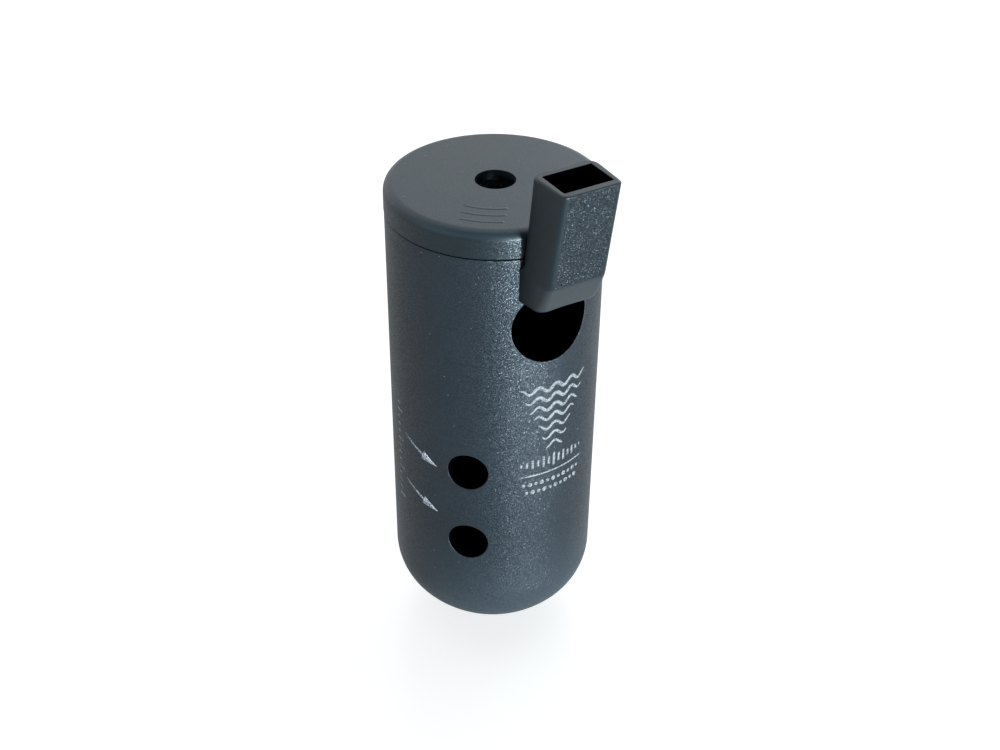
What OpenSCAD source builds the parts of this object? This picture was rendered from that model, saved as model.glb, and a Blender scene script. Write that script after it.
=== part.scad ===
// Bird call: a closed chamber that sounds like a flute when it is blown.
// A rectangular mouthpiece stands on the outside of the chamber and narrows to a slit,
// which sends a flat sheet of air down across the round window.
// Two finger holes low on the side and a tone hole in the cap set the note.
// The foot of the domed end is at the origin, +Z runs up the chamber,
// and the mouthpiece is on the -Y side.

/* [Chamber] */
// Height of the chamber, from its foot to the joint with the cap
tube_h = 112.9; // [105:0.1:125]
// Outer radius of the chamber at its open end
tube_top_r = 25.3; // [24.9:0.05:26]
// How much narrower the chamber is where the domed end starts
tube_draft = 0.8; // [0.3:0.05:1.5]
// Thickness of the chamber's wall
tube_wall = 2.2; // [1.6:0.1:3]
// Height of the domed end, measured to the tip of its full crown
dome_full_h = 20; // [18:0.5:22]
// Radius of the round shoulder between the side and the crown
shoulder_r = 15.9; // [14:0.1:17]
// Radius of the small flat that the call stands on
foot_r = 7; // [5:0.5:9]

/* [Sound holes] */
// Radius of the round window below the mouthpiece
window_r = 9.75; // [8:0.05:10]
// How far the window's centre lies below the joint with the cap
window_drop = 18.1; // [17:0.1:21]
// Radius of each finger hole
finger_hole_r = 4.9; // [4:0.1:6]
// Height of the lower finger hole above the foot
finger_hole_low_z = 34.3; // [30:0.1:40]
// Distance between the centres of the finger holes
finger_hole_pitch = 20.9; // [16:0.1:26]
// Number of finger holes
finger_hole_count = 2; // [1:1:2]
// Angle round the chamber from the mouthpiece to the finger holes, in degrees
finger_hole_turn = 45.6; // [35:0.1:90]

/* [Cap] */
// How far the cap's side stands out past the chamber
cap_overhang = 0.1; // [0.05:0.05:0.7]
// Height of the cap's side above the joint
cap_h = 6.55; // [5:0.05:8]
// Radius of the rounding on the cap's top edge
cap_edge_r = 2.3; // [1:0.1:3]
// Thickness of the cap's plate
cap_plate_t = 2.6; // [1.8:0.1:3.2]
// Radius of the tone hole in the cap
tone_hole_r = 4.7; // [3:0.1:6]
// Length of the plug that goes into the chamber
plug_l = 6.2; // [4:0.1:7]
// Thickness of the plug's wall
plug_wall = 1.8; // [1.2:0.1:2.5]
// Length of the lead-in slope at the plug's end
plug_lead = 0.6; // [0.3:0.1:1]

/* [Mouthpiece] */
// Outer width of the mouthpiece at its front face
mouth_front_w = 14.8; // [13.4:0.1:16]
// Outer width of the mouthpiece where its back meets the chamber
mouth_back_w = 16.8; // [15:0.1:18]
// Height of the rim's back edge above the cap's top
rim_rise = 14.6; // [10:0.1:20]
// How much lower the rim's front edge is than its back edge
rim_drop = 0.2; // [0:0.1:1.5]
// Depth of the rim from back to front
rim_depth = 12.1; // [10.5:0.1:13]
// Lean of the front face, in degrees
front_lean = 10.4; // [6:0.1:11]
// Lean of the back face, in degrees
back_lean = 2.2; // [1:0.1:4]
// Height of the sloped band at the lower end
band_h = 8; // [4:0.1:9]
// How far the mouthpiece reaches below the joint with the cap
mouth_reach = 11.1; // [8.9:0.1:11.9]
// How far the lower lip stands out from the chamber
lip_reach = 5.4; // [4:0.1:6]
// Thickness of the rim at the back
rim_back_wall = 2; // [1.4:0.1:2.6]
// Thickness of the rim and of the wall at the front
rim_front_wall = 1.9; // [1.2:0.1:2.2]
// Width of the opening in the rim
opening_w = 12.3; // [10:0.1:12.6]
// Width of the slit that the air leaves by
slit_w = 11.6; // [9:0.1:12.6]
// Height of that slit, away from the chamber
slit_h = 1.7; // [1:0.1:2.2]
// Length of the even stretch that leads to the slit
slit_l = 2; // [1:0.1:4]
// Thickness of the wall between the air duct and the chamber
duct_floor_t = 1.3; // [1:0.1:1.8]

/* [Fits] */
// Radial running clearance of the plug in the chamber
plug_gap = 0.05; // [0.02:0.01:0.1]
// Height of the open joint line between cap and chamber
joint_gap = 0.25; // [0.1:0.05:0.4]
// Clearance between the cap's side and the mouthpiece
cap_side_gap = 0.35; // [0.25:0.05:0.6]
// How far the mouthpiece's shoulder stays below the joint line
shoulder_drop = 0.5; // [0.3:0.1:1]

/* [Hidden] */
$fn = 96;

// One overrun for every cut
cut = 1;
moulded_grey = [0.2, 0.24, 0.27];
cap_grey = [0.26, 0.28, 0.3];

// Places that follow the joint between chamber and cap
tube_low_r = tube_top_r - tube_draft;
cap_r = tube_top_r + cap_overhang;
window_z = tube_h - window_drop;
mouth_low_z = tube_h - mouth_reach;

// Crown of the dome, a round arc that meets the shoulder arc tangentially
shoulder_x = tube_low_r - shoulder_r;
crown_r = (shoulder_x * shoulder_x + dome_full_h * dome_full_h - shoulder_r * shoulder_r)
    / (2 * (dome_full_h - shoulder_r));
foot_cut = crown_r - sqrt(crown_r * crown_r - foot_r * foot_r);
dome_z = dome_full_h - foot_cut;
crown_z = crown_r - foot_cut;
crown_turn = atan2(shoulder_x, crown_z - dome_z);

// Straight seat for the plug at the chamber's open end
seat_r = tube_top_r - tube_wall + plug_gap;
seat_l = plug_l + joint_gap;
seat_z = tube_h - seat_l;

// Places of the cap
cap_z = tube_h + joint_gap;
cap_top_z = cap_z + cap_h;
plug_r = seat_r - plug_gap;
bore_r = plug_r - plug_wall;

// Side outline of the mouthpiece, as distances from the chamber's axis
shoulder_z = tube_h - shoulder_drop;
rim_back_z = cap_top_z + rim_rise;
rim_front_z = rim_back_z - rim_drop;
back_low_r = cap_r + cap_side_gap;
rim_back_r = back_low_r + (rim_back_z - shoulder_z) * tan(back_lean);
rim_front_y = rim_back_r + rim_depth;
band_z = mouth_low_z + band_h;
band_y = rim_front_y - (rim_front_z - band_z) * tan(front_lean);
lip_y = radius_at(mouth_low_z) + lip_reach;

// Where the mouthpiece's sides meet the chamber, at its lower end
side_end_y = sqrt(pow(radius_at(mouth_low_z), 2) - pow(mouth_back_w / 2, 2));

// Side outline of the air duct
duct_back_y = rim_back_r + rim_back_wall;
duct_front_y = rim_front_y - rim_front_wall;
slit_back_y = radius_at(mouth_low_z) + duct_floor_t;
slit_front_y = slit_back_y + slit_h;
slit_top_z = mouth_low_z + slit_l;

// Outer radius of the chamber's drafted side at a height above the foot
function radius_at(z) = tube_low_r + (tube_top_r - tube_low_r) * (z - dome_z) / (tube_h - dome_z);

// Half section of the closed tube, drawn in by the thickness inset
module chamber_section(inset) {
    polygon([
        [0, dome_z],
        [tube_low_r - inset, dome_z],
        [tube_top_r - inset, tube_h],
        [0, tube_h],
    ]);
    intersection() {
        square([tube_low_r, dome_z]);
        union() {
            translate([shoulder_x, dome_z]) circle(shoulder_r - inset);
            intersection() {
                translate([0, crown_z]) circle(crown_r - inset);
                polygon([
                    [0, crown_z],
                    [0, crown_z - 2 * crown_r],
                    [2 * crown_r * sin(crown_turn), crown_z - 2 * crown_r * cos(crown_turn)],
                ]);
            }
        }
    }
}

// Round cut through one wall, pointing away from the axis at a turn from the mouthpiece
module side_hole(r, z, turn) {
    rotate([0, 0, -turn])
        translate([0, 0, z])
            rotate([90, 0, 0])
                cylinder(h = tube_top_r + cut, r = r);
}

module chamber() {
    color(moulded_grey)
        difference() {
            rotate_extrude() chamber_section(0);
            rotate_extrude() chamber_section(tube_wall);
            translate([0, 0, seat_z]) cylinder(h = seat_l + cut, r = seat_r);
            side_hole(window_r, window_z, 0);
            for (i = [0 : finger_hole_count - 1])
                side_hole(finger_hole_r, finger_hole_low_z + i * finger_hole_pitch, finger_hole_turn);
        }
}

// A side outline of distances and heights, made as wide as w
module across(points, w) {
    translate([-w / 2, 0, 0])
        rotate([90, 0, 90])
            linear_extrude(w) polygon([for (p = points) [-p[0], p[1]]]);
}

// The mouthpiece's outline seen from above, a little wider at the chamber than in front
module mouthpiece_plan() {
    translate([0, 0, mouth_low_z])
        linear_extrude(rim_back_z - mouth_low_z)
            polygon([
                [-mouth_back_w / 2, -side_end_y],
                [mouth_back_w / 2, -side_end_y],
                [mouth_front_w / 2, -rim_front_y],
                [-mouth_front_w / 2, -rim_front_y],
            ]);
}

// The space that the chamber and the cap take, with the mouthpiece's leaning back face
module room_for_chamber() {
    z0 = mouth_low_z - cut;
    z1 = rim_back_z + cut;
    translate([0, 0, z0])
        cylinder(h = shoulder_z - z0, r1 = radius_at(z0), r2 = radius_at(shoulder_z));
    translate([0, 0, shoulder_z])
        cylinder(h = z1 - shoulder_z, r1 = back_low_r, r2 = back_low_r + (z1 - shoulder_z) * tan(back_lean));
}

module mouthpiece_body() {
    intersection() {
        across([
            [0, mouth_low_z],
            [lip_y, mouth_low_z],
            [band_y, band_z],
            [rim_front_y, rim_front_z],
            [rim_back_r, rim_back_z],
            [0, rim_back_z],
        ], mouth_back_w);
        mouthpiece_plan();
    }
}

// Front outline of the air duct, which narrows from the rim to the slit
module duct_front() {
    rotate([90, 0, 0])
        linear_extrude(rim_front_y)
            polygon([
                [-slit_w / 2, mouth_low_z - cut],
                [slit_w / 2, mouth_low_z - cut],
                [opening_w / 2, rim_front_z],
                [opening_w / 2, rim_back_z + cut],
                [-opening_w / 2, rim_back_z + cut],
                [-opening_w / 2, rim_front_z],
            ]);
}

module air_duct() {
    intersection() {
        across([
            [slit_back_y, mouth_low_z - cut],
            [slit_front_y, mouth_low_z - cut],
            [slit_front_y, slit_top_z],
            [band_y - rim_front_wall, band_z],
            [duct_front_y, rim_front_z],
            [duct_front_y, rim_back_z + cut],
            [duct_back_y, rim_back_z + cut],
            [duct_back_y, rim_back_z],
            [slit_back_y, slit_top_z],
        ], opening_w + cut);
        duct_front();
    }
}

module mouthpiece() {
    color(moulded_grey)
        difference() {
            mouthpiece_body();
            air_duct();
            room_for_chamber();
        }
}

// Half section of the cap's rounded plate and of the plug below it
module cap_section() {
    difference() {
        union() {
            translate([0, cap_z]) square([cap_r, cap_h - cap_edge_r]);
            translate([0, cap_z]) square([cap_r - cap_edge_r, cap_h]);
            translate([cap_r - cap_edge_r, cap_top_z - cap_edge_r]) circle(cap_edge_r);
            polygon([
                [0, cap_z - plug_l],
                [plug_r - plug_lead, cap_z - plug_l],
                [plug_r, cap_z - plug_l + plug_lead],
                [plug_r, cap_z + cut],
                [0, cap_z + cut],
            ]);
        }
        translate([0, cap_z - plug_l - cut]) square([bore_r, plug_l + cap_h - cap_plate_t + cut]);
        translate([0, cap_top_z - cap_plate_t - cut]) square([tone_hole_r, cap_plate_t + 2 * cut]);
    }
}

module end_cap() {
    color(cap_grey) rotate_extrude() cap_section();
}

chamber();
mouthpiece();
end_cap();
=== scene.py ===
import math

import bmesh
import bpy
from mathutils import Matrix, Vector


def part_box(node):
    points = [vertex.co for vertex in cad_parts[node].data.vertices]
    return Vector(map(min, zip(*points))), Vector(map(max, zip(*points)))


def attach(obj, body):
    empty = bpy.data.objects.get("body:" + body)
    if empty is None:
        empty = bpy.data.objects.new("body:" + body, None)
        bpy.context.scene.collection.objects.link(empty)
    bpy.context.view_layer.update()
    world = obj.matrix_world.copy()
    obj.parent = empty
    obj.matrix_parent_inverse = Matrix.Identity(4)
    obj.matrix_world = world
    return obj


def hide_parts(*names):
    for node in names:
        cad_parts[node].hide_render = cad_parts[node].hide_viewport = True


bl_info = {
    "name": "Bird Call",
    "version": (1, 0, 0),
    "blender": (4, 5, 0),
    "location": "3D View > Sidebar > Bird Call",
    "description": "Shells, cap, mouthpiece, print, finishes and stage of a moulded bird call",
    "category": "Object",
}

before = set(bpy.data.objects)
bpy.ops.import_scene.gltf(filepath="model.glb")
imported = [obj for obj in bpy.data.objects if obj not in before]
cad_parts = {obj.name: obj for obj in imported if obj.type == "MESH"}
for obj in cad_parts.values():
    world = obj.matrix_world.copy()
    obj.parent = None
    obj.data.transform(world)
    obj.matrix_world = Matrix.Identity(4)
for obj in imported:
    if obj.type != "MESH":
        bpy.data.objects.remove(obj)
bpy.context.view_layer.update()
_, chamber_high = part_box("chamber")
cap_low, cap_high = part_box("end_cap")
mouth_low, mouth_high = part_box("mouthpiece")

MM = 0.001
TURN = 2 * math.pi


def length(name, description, millimetres):
    """A size, which is given in millimetres and held in metres."""
    return bpy.props.FloatProperty(
        name=name, description=description, default=millimetres * MM, min=0, precision=5,
        unit="LENGTH")


def angle(name, description, degrees):
    return bpy.props.FloatProperty(
        name=name, description=description, default=math.radians(degrees), unit="ROTATION")


def colour(name, description, red, green, blue):
    return bpy.props.FloatVectorProperty(
        name=name, description=description, default=(red, green, blue), min=0, max=1, size=3,
        subtype="COLOR")


def share(name, description, default):
    return bpy.props.FloatProperty(
        name=name, description=description, default=default, min=0, max=1, subtype="FACTOR")


class ChamberSizes(bpy.types.PropertyGroup):
    height: length("Height", "From the foot to the joint with the cap", chamber_high.z / MM)
    top_radius: length("Top radius", "Outer radius at the open end", chamber_high.x / MM)
    low_radius: length("Low radius", "Outer radius where the domed end starts", 24.5)
    wall: length("Wall", "Thickness of the wall", 2.2)
    dome_full: length("Dome height", "Height of the domed end with its full crown", 20)
    shoulder: length("Shoulder radius", "Round between the side and the crown", 15.9)
    foot: length("Foot radius", "Radius of the flat that it stands on", 7)
    seat_radius: length("Seat radius", "Radius of the straight seat for the plug", 23.15)
    seat_length: length("Seat length", "Length of that seat", 6.45)
    window_radius: length("Window radius", "Radius of the round window", 9.75)
    window_height: length("Window height", "Height of the window's centre", 94.8)
    finger_radius: length("Finger hole radius", "Radius of each finger hole", 4.9)
    finger_height: length("Finger hole height", "Height of the lower finger hole", 34.3)
    finger_pitch: length("Finger hole pitch", "Distance between the finger holes", 20.9)
    finger_turn: angle("Finger hole turn", "Turn from the mouthpiece to the finger holes", 45.6)
    hole_edge: length("Hole edge", "Rounding of the holes' outer edges", 0.15)
    rim_edge: length("Rim edge", "Rounding of the edge at the joint", 0.2)


class CapSizes(bpy.types.PropertyGroup):
    radius: length("Radius", "Outer radius of the cap", cap_high.x / MM)
    joint: length("Joint height", "Height of the cap's lower edge", 113.15)
    plate: length("Plate", "Thickness of the plate", 2.6)
    edge: length("Edge radius", "Rounding of the top edge", 2.3)
    low_edge: length("Lower edge", "Rounding of the edge at the joint", 0.22)
    hole_radius: length("Tone hole radius", "Radius of the tone hole", 4.7)
    hole_edge: length("Tone hole edge", "Rounding of the tone hole's rim", 0.12)
    plug_radius: length("Plug radius", "Outer radius of the plug", 23.1)
    plug_bore: length("Plug bore", "Inner radius of the plug", 21.3)
    lead: length("Lead-in", "Length of the slope at the plug's end", 0.6)
    wave_height: length("Ridge height", "How far the curved ridges stand out", 0.07)
    wave_width: length("Ridge width", "Width of each curved ridge", 1.1)


class MouthpieceSizes(bpy.types.PropertyGroup):
    low: length("Lower end", "Height of the lower end above the foot", mouth_low.z / MM)
    rim: length("Rim height", "Height of the rim's back edge", mouth_high.z / MM)
    rim_drop: length("Rim drop", "How much lower the rim's front edge is", 0.2)
    rim_front: length("Rim reach", "Distance from the axis to the rim's front", -mouth_low.y / MM)
    front_lean: angle("Front lean", "Lean of the front face", 10.4)
    back_lean: angle("Back lean", "Lean of the back face", 2.2)
    band: length("Band", "Height of the sloped band", 8)
    lip: length("Lip reach", "Distance from the axis to the lower lip", 30.61)
    shoulder: length("Shoulder height", "Height of the ledge below the joint", 112.4)
    back_radius: length("Back radius", "Radius of the back face at the ledge", 25.75)
    front_half_rim: length("Rim front half", "Half the front's width at the rim", 7.38)
    front_half_band: length("Band front half", "Half the front's width at the band", 7.5)
    back_half_rim: length("Rim back half", "Half the back's width at the rim", 8.0)
    back_half_ledge: length("Ledge back half", "Half the back's width at the ledge", 8.3)
    ledge: length("Ledge", "Height over which the back closes on to the chamber", 2.4)
    rim_edge: length("Rim edge", "Rounding of the rim's outer edge", 0.5)
    front_edge: length("Front edge", "Rounding of the upright front edges", 1.35)
    back_edge: length("Back edge", "Rounding of the upright back edges at the rim", 3.8)
    back_edge_low: length("Low back edge", "Rounding of the same edges at the ledge", 1.6)
    lip_edge: length("Lip edge", "Rounding of the lip's front edge", 1.0)
    low_corner: length("Lower corner", "Rounding of the lower side edges", 1.3)
    corner_swell: length("Corner swell", "Added rounding of the front edges, lip", 1.3)
    lip_arch: length("Lip arch", "Rise of the lip's middle over its corners", 0.35)
    opening_half: length("Opening half width", "Half the width of the opening", 6.15)
    opening_back: length("Opening back", "Distance from the axis to its back", 28.4)
    opening_front: length("Opening front", "Distance from the axis to its front", 36.79)
    slit_half: length("Slit half width", "Half the width of the slit", 5.8)
    slit_back: length("Slit back", "Distance from the axis to the slit's back", 26.46)
    slit_front: length("Slit front", "Distance from the axis to the slit's front", 28.16)
    slit_length: length("Slit length", "Length of the even stretch at the slit", 2)
    front_wall: length("Front wall", "Thickness of the wall at the front", 1.9)


class PrintSizes(bpy.types.PropertyGroup):
    lift: length("Ink lift", "How far the ink stands out of the plastic", 0.02)
    arrow_height: length("Arrow height", "Height of the lower arrow's tip", 41.2)
    arrow_pitch: length("Arrow pitch", "Distance between the arrows", 13.4)
    mark_height: length("Mark height", "Height of the lowest printed wave", 61.5)


class CallColours(bpy.types.PropertyGroup):
    slate: colour("Slate", "The chamber's plastic", 0.0035, 0.006, 0.0085)
    slate_light: colour("Light slate", "The paler peaks of its grain", 0.018, 0.028, 0.039)
    cap: colour("Cap", "The cap's side", 0.002, 0.006, 0.008)
    # Painted light: the top is painted paler than the cap's side, for the light that falls on it
    cap_top: colour("Cap top", "The cap's satin top", 0.018, 0.031, 0.041)
    mouth: colour("Mouthpiece", "The mouthpiece's smooth sides", 0.006, 0.014, 0.019)
    mouth_front: colour("Mouthpiece front", "Its grained front", 0.0015, 0.003, 0.0045)
    front_light: colour("Light front", "The paler peaks of that grain", 0.025, 0.036, 0.045)
    shine: colour("Shine", "Tint of the plastic's reflections", 0.74, 0.9, 1.0)
    gloss: share("Gloss", "Strength of the plastic's reflections; 0.5 is clean plastic", 0.6)
    ink: colour("Ink", "The printed marks", 0.28, 0.31, 0.33)
    # Painted light: the arrow ink is painted brighter than the mark ink, for the weaker lamp light
    # on that side of the wall
    arrow_ink: colour("Arrow ink", "The printed arrows and ticks", 0.5, 0.55, 0.62)
    # Painted reflection: the sloped band and the rim are painted paler for the floor and backdrop
    # they reflect
    rubbed: colour("Rubbed plastic", "The mouthpiece's pale band", 0.022, 0.029, 0.032)
    # Painted light: the domed end is painted paler towards the foot for the floor's reflection and
    # bounce light
    foot: colour("Rubbed foot", "The domed end, rubbed where it stands", 0.06, 0.085, 0.105)
    dust: colour("Dust", "Fine dust on the plastic", 0.33, 0.38, 0.4)
    floor: colour("Floor", "The floor and the background", 0.52, 0.52, 0.52)
    roughness: share("Roughness", "Roughness of the plastic between its grains", 0.39)
    grain: share("Grain", "How far the single grains are turned", 0.48)
    grain_size: length("Grain size", "Size of a grain", 0.13)


# Shader maths

PLASTIC_IOR = 1.5
CLOUD = 14 * MM  # size of the faint blotches in the plastic
CLOUD_EDGE, CLOUD_TONE = (0.35, 0.7), 0.8  # where they start and are full, and their tone
CLOUD_DEPTH, CLOUD_ROUGHNESS = 0.22, 0.06  # how far they darken it and change its roughness
SPECK, SPECK_GAP = 0.24 * MM, 2.7 * MM  # size and distance of the flecks of dust
SPECK_EDGE, SPECK_COVER = (0.62, 0.38), 0.75  # where one starts and is full; how well it covers
DUSTY, DUSTY_EDGE = 1.7 * SPECK_GAP, (0.47, 0.53)  # size and edge of the patches that have any
# The inner walls are painted nearly black, almost without shine: painted shade for the hollows
HOLLOW_CLOUD = 6 * MM  # size of the blotches on the inner walls
HOLLOW_DARK, HOLLOW_PALE = 0.02, 0.06  # their shares of the plastic's own colour: painted shade for the hollows
HOLLOW_ROUGHNESS, HOLLOW_VARIES, HOLLOW_SHINE = 0.8, 0.1, 0.02
PEAK, CLUSTER, PEAK_HEIGHT = 0.34 * MM, 1.1 * MM, 0.01 * MM  # the relief of those walls
PEAK_SHARE = 0.8  # the peaks' share of it; the clusters have the rest
INK_GRAIN, INK_TILT = 1.6, 0.6  # the grain's size and strength under ink, in shares
INK_PATCH, INK_THINNER = 2.2 * MM, 0.3  # patches of thin print, and how much more wears there
INK_THIN = (0.45, 0.7)  # where such a patch starts and is full
INK_WORN, INK_WEAR = (0.62, 0.95), 0.8  # the grains that wear through, and how far
INK_ROUGHNESS, INK_VARIES = 0.55, 0.1


class Link:
    """One output of a node. Sums on it add Math nodes."""

    def __init__(self, finish, socket):
        self.finish, self.socket = finish, socket

    def __add__(self, other):
        return self.finish.maths("ADD", self, other)

    def __radd__(self, other):
        return self.finish.maths("ADD", other, self)

    def __sub__(self, other):
        return self.finish.maths("SUBTRACT", self, other)

    def __rsub__(self, other):
        return self.finish.maths("SUBTRACT", other, self)

    def __mul__(self, other):
        return self.finish.maths("MULTIPLY", self, other)

    def __rmul__(self, other):
        return self.finish.maths("MULTIPLY", other, self)


class Finish:
    """A material, or the world, while its nodes are put together."""

    def __init__(self, owner):
        owner.use_nodes = True
        self.owner, self.tree = owner, owner.node_tree
        self.tree.nodes.clear()

    def add(self, kind, settings=None, sockets=None, output=0):
        """Adds a node with its settings and its sockets' values or links, and gives one output."""
        node = self.tree.nodes.new("ShaderNode" + kind)
        for name, value in (settings or {}).items():
            setattr(node, name, value)
        for name, value in (sockets or {}).items():
            if isinstance(value, Link):
                self.tree.links.new(value.socket, node.inputs[name])
            else:
                node.inputs[name].default_value = value
        return Link(self, node.outputs[output]) if node.outputs else None

    def maths(self, operation, first, second=0.0):
        return self.add("Math", {"operation": operation}, {0: first, 1: second})

    def vector(self, operation, first, second=(0, 0, 0)):
        """Vector maths; the second input of SCALE is a number."""
        at = "Scale" if operation == "SCALE" else 1
        return self.add("VectorMath", {"operation": operation}, {0: first, at: second})

    def place(self):
        return self.add("TexCoord", output="Object")

    def parts(self, vector):
        """The three numbers of a vector."""
        node = self.add("SeparateXYZ", sockets={"Vector": vector}).socket.node
        return [Link(self, node.outputs[name]) for name in "XYZ"]

    def height(self):
        return self.parts(self.place())[2]

    def noise(self, size, detail, roughness=0.5):
        """Soft noise from 0 to 1, whose spots are about size across."""
        return self.add("TexNoise", {"noise_dimensions": "3D"}, {
            "Vector": self.place(), "Scale": 1 / size, "Detail": detail, "Roughness": roughness})

    def cells(self, size, output):
        """Cells round scattered points: each cell's random Color, or the Distance to its point."""
        return self.add("TexVoronoi", {"feature": "F1"}, {
            "Vector": self.place(), "Scale": 1 / size}, output)

    def facets(self, size, tilt):
        """A normal that is turned at random from grain to grain, and each grain's random number."""
        grain = self.cells(size, "Color")
        away = self.vector("SCALE", self.vector("SUBTRACT", grain, (0.5, 0.5, 0.5)), tilt)
        plain = self.add("NewGeometry", output="Normal")
        return self.vector("NORMALIZE", self.vector("ADD", plain, away)), self.parts(grain)[0]

    def step(self, value, start, end):
        """0 below start, 1 above end and smooth between them; start may be the larger."""
        return self.add("MapRange", {"interpolation_type": "SMOOTHSTEP", "clamp": True}, {
            "Value": value, "From Min": start, "From Max": end, "To Min": 0.0, "To Max": 1.0})

    def mix(self, factor, first, second):
        """A mix of two colours, each a colour or a link."""
        sockets = {0: factor}
        for index, value in ((6, first), (7, second)):
            sockets[index] = value if isinstance(value, Link) else (*value[:3], 1)
        return self.add("Mix", {"data_type": "RGBA"}, sockets, 2)

    def bump(self, height, distance):
        return self.add("Bump", sockets={
            "Height": height, "Distance": distance, "Strength": 1.0})

    def plastic(self, base, roughness, normal, shine=0.5, tint=(1, 1, 1)):
        """Ends the material in a plastic surface; a shine of 0.5 is that of clean plastic."""
        return self.end(self.add("BsdfPrincipled", sockets={
            "Base Color": base, "Roughness": roughness, "Normal": normal, "IOR": PLASTIC_IOR,
            "Specular IOR Level": shine, "Specular Tint": (*tint, 1)}))

    def end(self, shader):
        self.add("OutputMaterial", sockets={"Surface": shader})
        return self.owner


def new_finish(name):
    return Finish(bpy.data.materials.new(name))


def toned(tone, part):
    """A colour made darker or lighter."""
    return [value * part for value in tone]


def dust_mask(finish):
    """Rare small flecks: 1 inside a fleck."""
    near = finish.cells(SPECK_GAP, "Distance")
    chosen = finish.step(finish.noise(DUSTY, 0.0), *DUSTY_EDGE)
    return finish.step(near, *[SPECK / SPECK_GAP * part for part in SPECK_EDGE]) * chosen


def grained_plastic(name, colours, low, high, gloss=1.0, grain=1.0, size=1.0, mask=None,
                    second=None):
    """Dark moulded plastic whose fine grain glitters, from a low to a high colour. Gloss, grain
    and size are shares of the call's own. The mask is 1 where the grain shows in full; second is
    a mask with the colour that takes over where it is 1."""
    finish = new_finish(name)
    shown = mask(finish) if mask else 1.0
    normal, number = finish.facets(colours.grain_size * size, shown * (colours.grain * grain))
    cloud = finish.noise(CLOUD, 3.0, 0.6)
    base = finish.mix((number - 0.5) * shown + 0.5, low, high)
    dark = finish.step(cloud, *CLOUD_EDGE) * CLOUD_DEPTH
    base = finish.mix(dark, base, toned(low, CLOUD_TONE))
    if second:
        covered, cover = second
        base = finish.mix(covered(finish), base, cover)
    base = finish.mix(dust_mask(finish) * SPECK_COVER, base, colours.dust)
    roughness = colours.roughness - CLOUD_ROUGHNESS / 2 + cloud * CLOUD_ROUGHNESS
    return finish.plastic(base, roughness, normal, colours.gloss * gloss, colours.shine)


def shaded_plastic(name, colours):
    """The bare plastic of the inner walls, painted nearly black as the shade in the hollows. Its
    relief is of sharp little peaks, gathered in loose clusters."""
    finish = new_finish(name)
    cloud = finish.noise(HOLLOW_CLOUD, 3.0, 0.6)
    base = finish.mix(cloud, toned(colours.slate, HOLLOW_DARK), toned(colours.slate, HOLLOW_PALE))
    peaks = finish.noise(PEAK, 2.0, 0.55) * PEAK_SHARE
    relief = finish.bump(peaks + finish.noise(CLUSTER, 1.0) * (1 - PEAK_SHARE), PEAK_HEIGHT)
    return finish.plastic(base, HOLLOW_ROUGHNESS + cloud * HOLLOW_VARIES, relief, HOLLOW_SHINE)


def ink_finish(name, colours, ink):
    """Thin print, broken up by the grain's tips, of which more show where it is thin."""
    finish = new_finish(name)
    normal, number = finish.facets(colours.grain_size * INK_GRAIN, colours.grain * INK_TILT)
    thin = INK_THINNER * finish.step(finish.noise(INK_PATCH, 2.0), *INK_THIN)
    worn = finish.step(number, *[tip - thin for tip in INK_WORN])
    base = finish.mix(worn * INK_WEAR, ink, colours.slate_light)
    return finish.plastic(base, INK_ROUGHNESS + worn * INK_VARIES, normal)


# Meshes

COLUMNS = 160  # faces round the axis


def placed(name, data):
    """A new object in the scene, at the origin."""
    made = bpy.data.objects.new(name, data)
    bpy.context.scene.collection.objects.link(made)
    return made


def solid(bm, name, *materials):
    """An object from a finished mesh, with its materials."""
    mesh = bpy.data.meshes.new(name)
    bm.to_mesh(mesh)
    bm.free()
    for material in materials:
        mesh.materials.append(material)
    return placed(name, mesh)


def piece(bm, name, body, slot, *materials, replaces=None, even=True):
    """Makes the finished mesh a piece that rides on a body."""
    made = solid(bm, name, *materials)
    made.data.shade_smooth()
    if even:
        made.modifiers.new("Even shading", "WEIGHTED_NORMAL")
    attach(made, body)
    if replaces:
        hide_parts(replaces)


def closed(bm, reach=0.002 * MM):
    """Merges the seams and turns the faces outwards."""
    bmesh.ops.remove_doubles(bm, verts=bm.verts[:], dist=reach)
    bmesh.ops.recalc_face_normals(bm, faces=bm.faces[:])


def points_in(geom):
    return [g for g in geom if isinstance(g, bmesh.types.BMVert)]


def drawn_out(bm, ring, place):
    """Extrudes a ring of edges and puts each new point where place says; gives the new ring."""
    made = bmesh.ops.extrude_edge_only(bm, edges=ring)["geom"]
    points = points_in(made)
    known = set(points)
    for point in points:
        point.co = place(point)
    return [g for g in made if isinstance(g, bmesh.types.BMEdge) and set(g.verts) <= known]


def rounded(bm, corners, radius, segments):
    """Rounds the corners of a flat outline."""
    bmesh.ops.bevel(bm, geom=corners, offset=radius, offset_type="OFFSET", segments=segments,
                    profile=0.5, affect="VERTICES", material=-1, clamp_overlap=False)


def turned(bm, geom):
    """Spins an outline once round the axis."""
    bmesh.ops.spin(bm, geom=geom, cent=(0, 0, 0), axis=(0, 0, 1), angle=TURN, steps=COLUMNS,
                   use_merge=True)


def arc_points(steps):
    """Sine and one minus cosine along a quarter turn."""
    quarter = [math.pi / 2 * (i + 1) / steps for i in range(steps)]
    return [(math.sin(a), 1 - math.cos(a)) for a in quarter]


def between(first, last, part):
    """The value at a part of the way from first to last."""
    return first + (last - first) * part


def limited(part):
    return min(max(part, 0), 1)


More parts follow.
